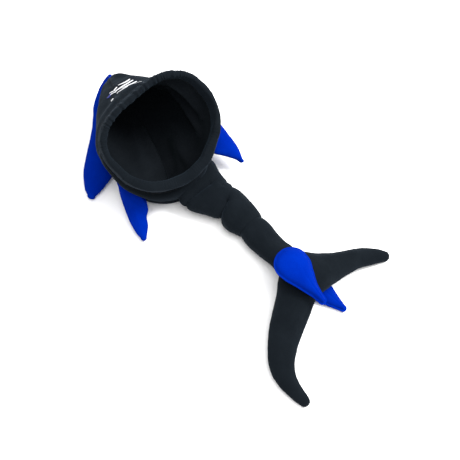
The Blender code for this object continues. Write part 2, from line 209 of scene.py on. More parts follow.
def tube_faces(rows, columns, first=0):
    """Faces of rows of rings."""
    faces = []
    for r in range(rows - 1):
        for c in range(columns):
            a, b = first + r * columns + c, first + r * columns + (c + 1) % columns
            faces.append((a, b, b + columns, a + columns))
    return faces


def zipped(first, columns):
    """Faces that close a flattened ring across its narrow way, from its front to its back."""
    quarter, half = columns // 4, columns // 2
    pairs = [(k % columns, (half - k) % columns) for k in range(-quarter, quarter + 1)]
    faces = []
    for (a, b), (c, d) in zip(pairs, pairs[1:]):
        corners = [first + i for i in (a, c, d, b)]
        faces.append(tuple(dict.fromkeys(corners)))
    return faces


def socket(group, name, kind, way="INPUT", value=None):
    made = group.interface.new_socket(name, in_out=way, socket_type=kind)
    if value is not None:
        made.default_value = value
    return made


def build_fleece_group():
    """Brushed fleece: a short matted nap, small pills and slow patches where the nap lies another way."""
    group = bpy.data.node_groups.new("fleece_nap", "ShaderNodeTree")
    socket(group, "Cloth Colour", "NodeSocketColor", value=(0.02, 0.02, 0.02, 1))
    socket(group, "Raised Colour", "NodeSocketColor", value=(0.05, 0.05, 0.05, 1))
    socket(group, "Nap Size", "NodeSocketFloat", value=0.0011)
    socket(group, "Nap Depth", "NodeSocketFloat", value=0.0004)
    socket(group, "Pilling", "NodeSocketFloat", value=0.5)
    socket(group, "Colour", "NodeSocketColor", "OUTPUT")
    socket(group, "Roughness", "NodeSocketFloat", "OUTPUT")
    socket(group, "Normal", "NodeSocketVector", "OUTPUT")
    nodes, links = group.nodes, group.links

    def node(kind, **settings):
        made = nodes.new(kind)
        for key, value in settings.items():
            setattr(made, key, value)
        return made

    def sums(operation, a, b):
        made = node("ShaderNodeMath", operation=operation)
        for slot, value in zip(made.inputs, (a, b)):
            if isinstance(value, (int, float)):
                slot.default_value = value
            else:
                links.new(value, slot)
        return made.outputs[0]

    inputs = node("NodeGroupInput").outputs
    place = node("ShaderNodeTexCoord").outputs["Object"]

    def grain(scale, detail, stretch=(1, 1, 1)):
        turned = node("ShaderNodeMapping")
        turned.inputs["Scale"].default_value = stretch
        links.new(place, turned.inputs["Vector"])
        made = node("ShaderNodeTexNoise")
        made.inputs["Detail"].default_value = detail
        made.inputs["Roughness"].default_value = 0.6
        links.new(turned.outputs[0], made.inputs["Vector"])
        if isinstance(scale, (int, float)):
            made.inputs["Scale"].default_value = scale
        else:
            links.new(scale, made.inputs["Scale"])
        return made.outputs[0]

    fine_scale = sums("DIVIDE", 1.0, inputs["Nap Size"])
    fine = grain(fine_scale, 3)
    strands = grain(sums("MULTIPLY", fine_scale, 0.45), 4, (1, 2.6, 1.4))
    clumps = grain(sums("MULTIPLY", fine_scale, 0.16), 3)
    patches = grain(26, 3)
    pills = node("ShaderNodeTexVoronoi")
    links.new(place, pills.inputs["Vector"])
    links.new(sums("MULTIPLY", fine_scale, 0.21), pills.inputs["Scale"])
    dots = node("ShaderNodeMapRange")
    dots.inputs["From Min"].default_value = 0.22
    dots.inputs["From Max"].default_value = 0.06
    links.new(pills.outputs["Distance"], dots.inputs["Value"])
    pilled = sums("MULTIPLY", sums("MULTIPLY", dots.outputs[0], inputs["Pilling"]), clumps)
    height = sums("ADD", sums("MULTIPLY", fine, 0.35), sums("MULTIPLY", strands, 0.4))
    height = sums("ADD", sums("ADD", height, sums("MULTIPLY", clumps, 0.9)), sums("MULTIPLY", pilled, 0.8))
    bump = node("ShaderNodeBump")
    bump.inputs["Strength"].default_value = 0.75
    links.new(inputs["Nap Depth"], bump.inputs["Distance"])
    links.new(height, bump.inputs["Height"])
    lit = sums("ADD", sums("MULTIPLY", strands, 0.55), sums("MULTIPLY", patches, 0.75))
    lit = sums("ADD", sums("SUBTRACT", lit, 0.38), sums("MULTIPLY", pilled, 0.6))
    blend = node("ShaderNodeMix", data_type="RGBA", clamp_factor=True)
    links.new(lit, blend.inputs["Factor"])
    links.new(inputs["Cloth Colour"], blend.inputs["A"])
    links.new(inputs["Raised Colour"], blend.inputs["B"])
    colour = [slot for slot in blend.outputs if slot.type == "RGBA"][0]
    rough = sums("ADD", sums("MULTIPLY", patches, 0.12), 0.84)
    outputs = node("NodeGroupOutput").inputs
    links.new(colour, outputs["Colour"])
    links.new(rough, outputs["Roughness"])
    links.new(bump.outputs["Normal"], outputs["Normal"])
    return group


FLEECE_NAP = build_fleece_group()


def fleece(name, colour, raised, sheen, sheen_tint, nap=0.0011, depth=0.0004, pilling=0.5):
    made = bpy.data.materials.new(name)
    made.use_nodes = True
    tree = made.node_tree
    shader = tree.nodes["Principled BSDF"]
    nap_node = tree.nodes.new("ShaderNodeGroup")
    nap_node.node_tree = FLEECE_NAP
    nap_node.inputs["Cloth Colour"].default_value = (*colour, 1)
    nap_node.inputs["Raised Colour"].default_value = (*raised, 1)
    nap_node.inputs["Nap Size"].default_value = nap
    nap_node.inputs["Nap Depth"].default_value = depth
    nap_node.inputs["Pilling"].default_value = pilling
    tree.links.new(nap_node.outputs["Colour"], shader.inputs["Base Color"])
    tree.links.new(nap_node.outputs["Roughness"], shader.inputs["Roughness"])
    tree.links.new(nap_node.outputs["Normal"], shader.inputs["Normal"])
    shader.inputs["Specular IOR Level"].default_value = 0.05
    shader.inputs["Sheen Weight"].default_value = sheen
    shader.inputs["Sheen Roughness"].default_value = 0.55
    shader.inputs["Sheen Tint"].default_value = (*sheen_tint, 1)
    shader.inputs["Specular Tint"].default_value = (*sheen_tint, 1)
    return made


BLACK_FLEECE = fleece(
    "black_fleece", (0.0032, 0.0042, 0.0054), (0.0082, 0.0106, 0.0134),
    sheen=0.04, sheen_tint=(0.4, 0.58, 0.8),
)

ROUND_HAT = 288
HAT_ROWS = 150
CROWN_REST = 0.3 * MM  # the crown's slack lies this far above the table


def hat_bowl(name, outer_out, inner_out, outer_end, inner_end, lowest, finish, lean=None):
    """A bowl of cloth from the rim to the crown seam. outer_out and inner_out give how far each face
    stands out from the hat, outer_end and inner_end the section where each closes, lowest the least
    height of each face above the table, and lean how far the cloth hangs over sideways, in radians."""
    angle = np.linspace(0, 2 * pi, ROUND_HAT, endpoint=False)[None, :]
    grids = []
    for stands, end, low in zip((outer_out, inner_out), (outer_end, inner_end), lowest):
        u, a = np.broadcast_arrays(np.linspace(0, end, HAT_ROWS)[:, None], angle)
        grid = off_hat(u, a + lean(u, a) if lean else a, stands(u, a))
        grid[..., 2] = np.maximum(grid[..., 2], low)
        grids.append(grid)
    rings = HAT_ROWS * ROUND_HAT
    faces = tube_faces(HAT_ROWS, ROUND_HAT) + tube_faces(HAT_ROWS, ROUND_HAT, rings)
    faces += zipped(rings - ROUND_HAT, ROUND_HAT) + zipped(2 * rings - ROUND_HAT, ROUND_HAT)
    for c in range(ROUND_HAT):
        d = (c + 1) % ROUND_HAT
        faces.append((c, d, rings + d, rings + c))
    return make_piece(name, np.vstack([g.reshape(-1, 3) for g in grids]), faces, finish)


def seam_groove(u, angle):
    """The middle seam pulls a fine groove into the front and the back of the hat."""
    off_middle = np.abs(np.cos(angle)) * np.interp(u, (0, 4, CROWN_SEAM), (0.095, 0.08, 0.02))
    return -1.3 * MM * np.exp(-(off_middle / (1.6 * MM)) ** 2) * (u < CROWN_SEAM - 0.4)


def crown_outside(u, angle):
    place = bare_hat(u, angle)
    slack = np.clip(u, 0, 1) * np.clip((CROWN_SEAM + 0.5 - u) / 3, 0, 1)
    crumple = cloth_noise(place, 34 * MM, 1) * 1.9 * MM + cloth_noise(place, 13 * MM, 2) * 0.5 * MM
    return fold_height(u, angle, OUTER_FOLDS) + (crumple + 0.6 * MM) * slack + seam_groove(u, angle)


def crown_inside(u, angle):
    """The folds show half as deep inside, but a crease stays one layer of cloth."""
    outside = crown_outside(u, angle)
    return np.minimum(outside * 0.5, outside) - FLEECE


crown = hat_bowl(
    "crown", crown_outside, crown_inside, CROWN_SEAM, CROWN_SEAM - 0.5, (CROWN_REST, CROWN_REST + FLEECE),
    BLACK_FLEECE,
)
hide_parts("crown_left_panel", "crown_right_panel")
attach(crown, "hat")

# ---- lining: a thinner black fleece, cut like the crown and hung inside it, sewn in at the hem only.
# Loose cloth falls towards the low side, where two wide folds leave a deep V between them and one hangs over.

LINING = 1.8 * MM
LAYER_GAP = 0.4 * MM
LINING_OUT = -FLEECE - LAYER_GAP
LINING_REST = CROWN_REST + FLEECE + LAYER_GAP
LINING_FOLDS = (
    (2.0, 222, 6.4, 246, 26, 17),
    (2.2, 239, 6.2, 261, 9, 9),
    (2.2, 274, 4.0, 300, 15, 17),
    (2.6, 262, 4.0, 288, 7, 6),
    (1.6, 46, 1.8, -22, 5, 14),
    (3.2, 24, 2.3, -44, 5.5, 14),
    (4.2, 60, 4.6, 0, 12, 6),
    (2.2, 165, 3.0, 128, 12, 7),
)
BACK_OVERHANG = ((2.4, 240, 6.0, 261, 9, 175),)  # as the folds, but in milliradians
BACK_CREASE = ((2.0, 246, 6.0, 276, 6, 1100), (4.0, 270, 6.2, 284, 15, 1000))
BLACK_LINING = fleece(
    "black_lining", (0.0036, 0.0044, 0.0058), (0.0104, 0.0126, 0.0154),
    sheen=0.02, sheen_tint=(0.4, 0.6, 0.7), nap=0.0009, pilling=0.7,
)


def lining_inside(u, angle):
    place = bare_hat(u, angle)
    free = np.clip((u - 0.6) / 0.8, 0, 1) * np.clip((CROWN_SEAM - u) / 2.5, 0, 1)
    crumple = cloth_noise(place, 26 * MM, 5) * 2.0 * MM + cloth_noise(place, 9 * MM, 6) * 0.35 * MM
    loose = fold_height(u, angle, LINING_FOLDS) + crumple + 1.2 * MM
    crease = np.clip(fold_height(u, angle, BACK_CREASE), 0, 1)
    hung = LINING_OUT - LINING - np.maximum(loose, 0) * free * (1 - crease)
    return np.minimum(hung, crown_inside(u, angle) - LAYER_GAP - LINING)


lining = hat_bowl(
    "lining", lambda u, a: lining_inside(u, a) + LINING, lining_inside, CROWN_SEAM - 1.2, CROWN_SEAM - 1.5,
    (LINING_REST, LINING_REST + LINING), BLACK_LINING, lambda u, a: fold_height(u, a, BACK_OVERHANG),
)
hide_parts("lining_left_panel", "lining_right_panel")
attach(lining, "hat")

# ---- hem: the fleece is turned over the rim and topstitched to both layers with an elastic in the fold.
# The elastic draws it up, so the fold is plump and its cloth puckers across it.

HEM_ROUND = 720
HEM_DEPTH = 0.82  # how many sections deep the hem is
WALL = FLEECE + LAYER_GAP + LINING
HEM_PROFILE = (  # round the outside of the fold: section, out from the hat, above the rim, in millimetres
    (HEM_DEPTH, 0.7, 0),
    (HEM_DEPTH - 0.06, 1.9, 0),
    (HEM_DEPTH - 0.22, 3.2, 0),
    (HEM_DEPTH - 0.45, 3.5, 0),
    (0.14, 3.2, 0),
    (0, 2.4, 2.6),
    (0, 0.6, 5.6),
    (0, -2.2, 6.8),
    (0, -5.4, 5.8),
    (0, -7.8, 2.6),
    (0.14, -9.0, 0),
    (HEM_DEPTH - 0.45, -9.4, 0),
    (HEM_DEPTH - 0.22, -8.8, 0),
    (HEM_DEPTH - 0.06, -7.0, 0),
    (HEM_DEPTH, -5.6, 0),
)
HEM_STEPS = 3  # rows to each stretch of the profile
HEM_CORE = 0.62  # the inner face of the fold, as a share of the outer one
PUCKERS = 62  # the coarse puckers round the rim
FINE_PUCKERS = 97
GATHERED_AT = radians(95)  # the elastic shows most over the brow
LOW_SIDE_TURN = 9.0  # how much further in the hem hangs on the low side, in millimetres


def hem_points(rows, puckered=True):
    """Points round the rim for rows of (section, out, above the rim)."""
    angle = np.linspace(0, 2 * pi, HEM_ROUND, endpoint=False)
    left, front = hat_frame(np.zeros(1))[1:3]
    up = np.cross(left, front)[0]
    up /= np.linalg.norm(up)
    round_rim = np.stack((np.cos(angle), np.sin(angle), 0 * angle), -1)
    wander = cloth_noise(round_rim, 0.35, 9)
    strength = 0.22 + 0.9 * np.clip(np.cos(angle - GATHERED_AT), 0, 1) ** 2
    grid = []
    for i, (u, out, stand) in enumerate(rows):
        share = i / (len(rows) - 1)
        middle = sin(pi * share)
        side = 1 if out > -WALL / MM / 2 else -1
        coarse = np.sin(angle * PUCKERS + wander * 22 + share * 1.5) * 0.5
        pucker = coarse + np.sin(angle * FINE_PUCKERS + wander * 31) * 0.4
        swell = cloth_noise(round_rim + (0, 0, share), 0.22, 11)
        lift = (pucker * strength * 1.15 * middle + swell * 1.7 * middle) * puckered
        low_side = np.clip(np.cos(angle - SAG_AT), 0, 1) * (side < 0) * LOW_SIDE_TURN * middle
        offset = (out - low_side + side * np.maximum(lift, -1.2) * (abs(stand) < 6)) * MM
        place = off_hat(np.full_like(angle, u), angle, offset)
        grid.append(place + up * ((stand + lift * (stand > 2)) * MM)[..., None])
    return np.array(grid)


def finer(rows, steps):
    """The profile with more rows, on a smooth line through it."""
    return smooth_rows(rows, np.linspace(0, len(rows) - 1, (len(rows) - 1) * steps + 1))


wall_middle = -WALL / MM / 2
inner_profile = [
    (u, (out - wall_middle) * HEM_CORE + wall_middle, stand * HEM_CORE) for u, out, stand in HEM_PROFILE
]
outer_hem = hem_points(finer(HEM_PROFILE, HEM_STEPS))
inner_hem = hem_points(finer(inner_profile, HEM_STEPS), puckered=False)
hem_rows = len(outer_hem)
hem_faces = tube_faces(hem_rows, HEM_ROUND) + tube_faces(hem_rows, HEM_ROUND, hem_rows * HEM_ROUND)
for row in (0, hem_rows - 1):
    for c in range(HEM_ROUND):
        a, b = row * HEM_ROUND + c, row * HEM_ROUND + (c + 1) % HEM_ROUND
        hem_faces.append((a, b, b + hem_rows * HEM_ROUND, a + hem_rows * HEM_ROUND))
hem_surface = np.vstack((outer_hem.reshape(-1, 3), inner_hem.reshape(-1, 3)))
hem = make_piece("hem", hem_surface, hem_faces, BLACK_FLEECE)
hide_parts("cuff", "cuff_elastic")
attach(hem, "hat")

# ---- hem stitching: a straight machine topstitch in black thread along the lower edge of the hem,
# outside and in, and the same stitch either side of the middle seam.

def build_stitch_tree():
    """Stitches along a curve: one short rounded thread to each pitch, lying along it."""
    tree = bpy.data.node_groups.new("row_of_stitches", "GeometryNodeTree")
    socket(tree, "Line", "NodeSocketGeometry")
    socket(tree, "Pitch", "NodeSocketFloat", value=0.003)
    socket(tree, "Stitch Length", "NodeSocketFloat", value=0.0024)
    socket(tree, "Thread Width", "NodeSocketFloat", value=0.0006)
    socket(tree, "Unevenness", "NodeSocketFloat", value=0.12)
    socket(tree, "Thread", "NodeSocketMaterial")
    socket(tree, "Stitches", "NodeSocketGeometry", "OUTPUT")
    nodes, links = tree.nodes, tree.links
    given = nodes.new("NodeGroupInput").outputs
    spaced = nodes.new("GeometryNodeResampleCurve")
    spaced.mode = "LENGTH"
    links.new(given["Line"], spaced.inputs["Curve"])
    links.new(given["Pitch"], spaced.inputs["Length"])
    tangent = nodes.new("GeometryNodeInputTangent")
    turned = nodes.new("FunctionNodeAlignRotationToVector")
    turned.axis = "Z"
    links.new(tangent.outputs[0], turned.inputs["Vector"])
    thread = nodes.new("GeometryNodeMeshUVSphere")
    thread.inputs["Segments"].default_value = 6
    thread.inputs["Rings"].default_value = 5
    thread.inputs["Radius"].default_value = 0.5
    size = nodes.new("ShaderNodeCombineXYZ")
    for axis, source in (("X", "Thread Width"), ("Y", "Thread Width"), ("Z", "Stitch Length")):
        links.new(given[source], size.inputs[axis])
    varied = nodes.new("FunctionNodeRandomValue")
    varied.inputs["Seed"].default_value = 4
    low = nodes.new("ShaderNodeMath")
    low.operation = "SUBTRACT"
    low.inputs[0].default_value = 1
    links.new(given["Unevenness"], low.inputs[1])
    floats = [s for s in varied.inputs if s.type == "VALUE"]
    links.new(low.outputs[0], floats[0])
    floats[1].default_value = 1
    scaled = nodes.new("ShaderNodeVectorMath")
    scaled.operation = "SCALE"
    links.new(size.outputs[0], scaled.inputs[0])
    links.new([s for s in varied.outputs if s.type == "VALUE"][0], scaled.inputs["Scale"])
    placed = nodes.new("GeometryNodeInstanceOnPoints")
    links.new(spaced.outputs[0], placed.inputs["Points"])
    links.new(thread.outputs[0], placed.inputs["Instance"])
    links.new(turned.outputs[0], placed.inputs["Rotation"])
    links.new(scaled.outputs[0], placed.inputs["Scale"])
    real = nodes.new("GeometryNodeRealizeInstances")
    links.new(placed.outputs[0], real.inputs[0])
    coloured = nodes.new("GeometryNodeSetMaterial")
    links.new(real.outputs[0], coloured.inputs["Geometry"])
    links.new(given["Thread"], coloured.inputs["Material"])
    links.new(coloured.outputs[0], nodes.new("NodeGroupOutput").inputs["Stitches"])
    return tree


STITCH_TREE = build_stitch_tree()


def thread_material(name, colour, sheen):
    """Spun polyester thread: a smooth twist with a soft gloss."""
    made = bpy.data.materials.new(name)
    made.use_nodes = True
    tree = made.node_tree
    shader = tree.nodes["Principled BSDF"]
    place = tree.nodes.new("ShaderNodeTexCoord")
    twist = tree.nodes.new("ShaderNodeTexNoise")
    twist.inputs["Scale"].default_value = 2400
    tree.links.new(place.outputs["Object"], twist.inputs["Vector"])
    tint = tree.nodes.new("ShaderNodeMix")
    tint.data_type = "RGBA"
    tint.inputs["A"].default_value = (*[c * 0.72 for c in colour], 1)
    tint.inputs["B"].default_value = (*colour, 1)
    tree.links.new(twist.outputs[0], tint.inputs["Factor"])
    tree.links.new([s for s in tint.outputs if s.type == "RGBA"][0], shader.inputs["Base Color"])
    bump = tree.nodes.new("ShaderNodeBump")
    bump.inputs["Distance"].default_value = 0.0001
    tree.links.new(twist.outputs[0], bump.inputs["Height"])
    tree.links.new(bump.outputs[0], shader.inputs["Normal"])
    shader.inputs["Roughness"].default_value = 0.6
    shader.inputs["Specular IOR Level"].default_value = 0.15
    shader.inputs["Sheen Weight"].default_value = sheen
    return made


BLACK_THREAD = thread_material("black_thread", (0.004, 0.005, 0.006), 0.0)


def stitch_row(name, lines, finish, body, pitch=0.0034, length=0.0028, width=0.0007, closed=False):
    """Stitches along each line of points, made one mesh that rides on body."""
    path = bpy.data.curves.new(name, "CURVE")
    path.dimensions = "3D"
    for line in lines:
        spline = path.splines.new("POLY")
        spline.points.add(len(line) - 1)
        for point, place in zip(spline.points, line):
            point.co = (*place, 1)
        spline.use_cyclic_u = closed
    guide = bpy.data.objects.new(name + "_line", path)
    bpy.context.scene.collection.objects.link(guide)
    sewn = guide.modifiers.new("stitches", "NODES")
    sewn.node_group = STITCH_TREE
    names = {s.name: s.identifier for s in STITCH_TREE.interface.items_tree if s.in_out == "INPUT"}
    sewn[names["Pitch"]] = pitch
    sewn[names["Stitch Length"]] = length
    sewn[names["Thread Width"]] = width
    sewn[names["Thread"]] = finish
    mesh = bpy.data.meshes.new_from_object(guide.evaluated_get(bpy.context.evaluated_depsgraph_get()))
    bpy.data.objects.remove(guide)
    mesh.shade_smooth()
    made = bpy.data.objects.new(name, mesh)
    bpy.context.scene.collection.objects.link(made)
    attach(made, body)
    return made


def hat_line(u, angle, out):
    u, angle = np.broadcast_arrays(np.asarray(u, float), np.asarray(angle, float))
    return off_hat(u, angle, np.zeros(u.shape) + out)


all_round = np.linspace(0, 2 * pi, 240, endpoint=False)
stitch_row(
    "hem_stitching",
    [hat_line(HEM_DEPTH - 0.16, all_round, 4.9 * MM), hat_line(HEM_DEPTH - 0.16, all_round, -9.3 * MM)],
    BLACK_THREAD, "hat", closed=True,
)
seam_lines = []
for middle in (pi / 2, 3 * pi / 2):
    down = np.linspace(HEM_DEPTH + 0.1, CROWN_SEAM - 1.6, 90)
    for side in (-1, 1):
        turn = middle + side * radians(3.2)
        line = off_hat(down, turn + 0 * down, crown_outside(down, turn + 0 * down) + 0.2 * MM)
        line[:, 2] = np.maximum(line[:, 2], 0.5 * MM)
        seam_lines.append(line)
stitch_row("crown_seam_stitching", seam_lines, BLACK_THREAD, "hat")

# ---- emblem: a small plain embroidery on the front panel, white satin bars like ripples of water,
# with one dark blue bar and a ring. Each bar is filled with thread laid side by side across it.

WHITE_THREAD = thread_material("white_thread", (0.86, 0.87, 0.9), 0.2)
BLUE_THREAD = thread_material("dark_blue_thread", (0.01, 0.02, 0.24), 0.2)
EMBLEM_U = 3.6
EMBLEM_AT = radians(80)
THREAD_LAY = 0.75 * MM  # spacing of the threads in a bar
THREAD_OUT = 0.5 * MM  # how far the threads stand off the cloth
# Each bar: its middle from the emblem's own, in sections and degrees, its half length in degrees, its bow in
# sections and its half width in millimetres.
RIPPLES = (
    (0.05, 0, 15, 0.15, 2.5),
    (0.42, -6, 8, 0.14, 2.2),
    (-0.28, -7, 9, 0.10, 1.9),
    (0.38, 10, 5, 0.10, 1.8),
    (-0.52, 3, 6, 0.12, 1.6),
    (-0.66, -14, 4, 0.05, 1.4),
)
BLUE_BAR = (0.22, 17.5, 3.0, 0.08, 3.0)


def satin_bar(bar):
    """Short threads across a bowed bar, as lines of two points."""
    du, degrees, half, bow, half_width = bar
    count = ceil(2 * radians(half) * FOLD_MEAN_RADIUS / THREAD_LAY)
    lines = []
    for i in range(count + 1):
        t = -1 + 2 * i / count
        angle = EMBLEM_AT + radians(degrees + half * t)
        uneven = 0.86 + 0.14 * sin(i * 2.3)
        reach = half_width * MM / FOLD_SECTION_SPACING * (1 - t * t) ** 0.5 * uneven
        middle = EMBLEM_U + du + bow * t * t
        ends = np.linspace(middle - reach, middle + reach, 2)
        stand = crown_outside(ends, angle + 0 * ends) + THREAD_OUT
        lines.append(off_hat(ends, angle + 0.012 * np.array((-1, 1)), stand))
    return [line for line in lines if np.linalg.norm(line[1] - line[0]) > 0.5 * MM]


def laid_threads(name, lines, finish):
    """One rounded thread to each line, as a closed mesh."""
    points, faces = [], []
    around, along = 6, 5
    for line in lines:
        ahead = line[1] - line[0]
        side = np.cross(ahead, (0.31, 0.2, 0.93))
        side /= np.linalg.norm(side)
        up = np.cross(side, ahead / np.linalg.norm(ahead))
        first = len(points)
        for r in range(along):
            t = r / (along - 1)
            fat = 0.48 * MM * max(sin(pi * t), 0.25) ** 0.5
            centre = line[0] + ahead * t + up * sin(pi * t) * 0.3 * MM
            for k in range(around):
                turn = 2 * pi * k / around
                points.append(centre + side * cos(turn) * fat + up * sin(turn) * fat)
        faces += tube_faces(along, around, first)
        faces += [tuple(range(first, first + around))]
        faces += [tuple(range(first + (along - 1) * around, first + along * around))]
    return make_piece(name, np.array(points), faces, finish)


emblem = laid_threads("emblem", [line for bar in RIPPLES for line in satin_bar(bar)], WHITE_THREAD)
RING_RADIUS = 2.2 * MM
ring_turn = np.linspace(0, 2 * pi, 22, endpoint=False)
ring_u = EMBLEM_U - 0.6 + np.cos(ring_turn) * RING_RADIUS / FOLD_SECTION_SPACING
ring_angle = EMBLEM_AT + radians(16) + np.sin(ring_turn) * RING_RADIUS / FOLD_MEAN_RADIUS
ring = off_hat(ring_u, ring_angle, crown_outside(ring_u, ring_angle) + THREAD_OUT)
stitch_row("emblem_ring", [ring], WHITE_THREAD, "hat", 0.0009, 0.0018, 0.0009, closed=True)
emblem_bar = laid_threads("emblem_blue_bar", satin_bar(BLUE_BAR), BLUE_THREAD)
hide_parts("front_badge")
for piece in (emblem, emblem_bar):
    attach(piece, "hat")

# ---- tail: one sleeve of black fleece, stuffed and drawn in by hand-pulled threads at two creases.
# It is sewn into the back of the hat.

ROUND_TAIL = 144
# Stations along the sleeve: x, y, z, half width, half height, heading of the across line in degrees.
TAIL_SLEEVE = (
    (-116, 32, 31, 50, 20, 12),
    (-106, 32, 29, 54, 23, 12),
    (-94, 32, 27.5, 52, 25, 13),
    (-76, 32.5, 27.5, 43, 25.5, 15),
    (-60, 34, 27.5, 38, 26, 16),
    (-42, 35.5, 27, 36, 26, 16),
    (-24, 34, 27, 34.5, 26.5, 8),
    (-4, 32.5, 26, 32.5, 25, 0),
    (10, 32, 24.5, 29, 22.5, -6),
    (20, 31.5, 23.5, 26, 20, -7),
)
PLUMP = 0.92  # 1 is an ellipse, and less is fuller at the corners
SLEEVE_STEP = 1.1 * MM
TABLE_CLEARANCE = 0.4 * MM  # what rests on the table stays this far above it
SPLIT_AT = 4.0  # the station, half way along the first length, where the sleeve is cut in two pieces


def sleeve_ring(place, turn):
    """Points round the sleeve at stations place, before its creases."""
    x, y, z, wide, high, heading = np.moveaxis(smooth_rows(TAIL_SLEEVE, place), -1, 0)
    heading = np.radians(heading)
    across = np.stack((-np.sin(heading), np.cos(heading), 0 * heading), -1)
    c, s = np.cos(turn), np.sin(turn)
    side = (np.sign(c) * np.abs(c) ** PLUMP * wide)[..., None] * across
    rise = (np.sign(s) * np.abs(s) ** PLUMP * high)[..., None] * np.array((0, 0, 1.0))
    return (np.stack((x, y, z), -1) + side + rise) * MM + LAY_SHIFT


def crease_pull(point, crease):
    """How deep a crease pulls the sleeve in at each point, in metres."""
    start, end, depth, half_width, low_end = crease
    start, end = (np.array(p) * MM + LAY_SHIFT[:2] for p in (start, end))
    ahead = end - start
    length = np.linalg.norm(ahead)
    ahead /= length
    away = point[..., :2] - start
    along = away @ ahead / length
    off = np.abs(away[..., 0] * ahead[1] - away[..., 1] * ahead[0])
    beyond = np.maximum(np.abs(along - 0.5) - 0.5, 0) * length
    shape = np.exp(-off / (half_width * MM)) * np.exp(-beyond / (9 * MM))
    strength = low_end + (1 - low_end) * np.clip(np.abs(along - 0.5) * 2, 0, 1) ** 1.5
    return depth * MM * shape * strength


# Each crease: one end (x, y), the other end, depth, half width, and how much of it is left in the middle.
TAIL_CREASES = (
    ((-27, -8), (-37, 34), 11, 5.0, 0.95),
    ((-37, 34), (-52, 74), 5.0, 5.0, 0.4),
    ((-92, -34), (-80, 40), 10.0, 6.0, 0.85),
    ((-62, 52), (-66, 84), 4.0, 6.0, 0.8),
)


def sleeve_surface(place, turn):
    bare = sleeve_ring(place, turn)
    step = 0.02
    along = sleeve_ring(place + step, turn) - sleeve_ring(place - step, turn)
    across = sleeve_ring(place, turn + step) - sleeve_ring(place, turn - step)
    normal = np.cross(across, along)
    normal /= np.linalg.norm(normal, axis=-1, keepdims=True)
    pull = sum(crease_pull(bare, crease) for crease in TAIL_CREASES)
    pull = pull * (0.85 + 0.2 * cloth_noise(bare, 20 * MM, 21))
    soft = cloth_noise(bare, 22 * MM, 22) * 1.1 * MM + cloth_noise(bare, 8 * MM, 23) * 0.3 * MM
    drawn_in = np.clip(pull / (6 * MM), 0, 1)
    pleats = np.sin(turn * 26 + 9 * cloth_noise(bare, 26 * MM, 24)) * drawn_in * 0.15 * MM
    point = bare + normal * (soft - pull + pleats)[..., None]
    point[..., 2] = np.maximum(point[..., 2], TABLE_CLEARANCE)
    return point


def sleeve_pieces():
    """The sleeve's surface, cut at the split. Both pieces keep the whole sleeve's normals at the cut."""
    last = len(TAIL_SLEEVE) - 1
    middles = smooth_rows(TAIL_SLEEVE, np.arange(0, last + 0.01, 0.05))[:, :3] * MM
    length = np.linalg.norm(np.diff(middles, axis=0), axis=1).sum()
    rows_each = ceil(length / last / SLEEVE_STEP)
    place = np.arange(0, last * rows_each + 1) / rows_each
    turn = np.linspace(0, 2 * pi, ROUND_TAIL, endpoint=False)
    place, turn = np.meshgrid(place, turn, indexing="ij")
    grid = sleeve_surface(place, turn)
    along = np.gradient(grid, axis=0)
    across = np.roll(grid, -1, axis=1) - np.roll(grid, 1, axis=1)
    normals = np.cross(across, along)
    normals /= np.linalg.norm(normals, axis=-1, keepdims=True)
    cut = round(SPLIT_AT * rows_each)
    pieces = []
    for name, rows in (("tail_root", slice(0, cut + 1)), ("tail_middle", slice(cut, None))):
        ring_rows = grid[rows]
        count = len(ring_rows)
        faces = tube_faces(count, ROUND_TAIL) + zipped(0, ROUND_TAIL)
        faces += zipped((count - 1) * ROUND_TAIL, ROUND_TAIL)
        piece = make_piece(name, ring_rows, faces, BLACK_FLEECE)
        piece.data.normals_split_custom_set_from_vertices([tuple(n) for n in normals[rows].reshape(-1, 3)])
        pieces.append(piece)
    return pieces


tail_root, tail_middle = sleeve_pieces()

hinges = {joint["name"]: Vector(joint["pos_m"]) for joint in frame["joints"]}
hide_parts("tail_length_1_cover", "tail_length_1_filling", "gather_thread_1")
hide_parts("tail_length_2_cover", "tail_length_2_filling", "gather_thread_2")
for sleeve, bodies, hinge, room in (
    (tail_root, ("hat", "tail_length_1"), hinges["tail_root_bend"], (0.030, 0.011)),
    (tail_middle, ("tail_length_1", "tail_length_2"), hinges["tail_first_crease"], (0.010, 0.018)),
):
    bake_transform(sleeve)


# ---- fins and tail fin: each is two panels of fleece sewn face to face round the edge, turned out
# and stuffed. The shape is a row of ribs, and the cloth swells from the seam to the middle.

def unit(vectors):
    return vectors / np.maximum(np.linalg.norm(vectors, axis=-1, keepdims=True), 1e-12)


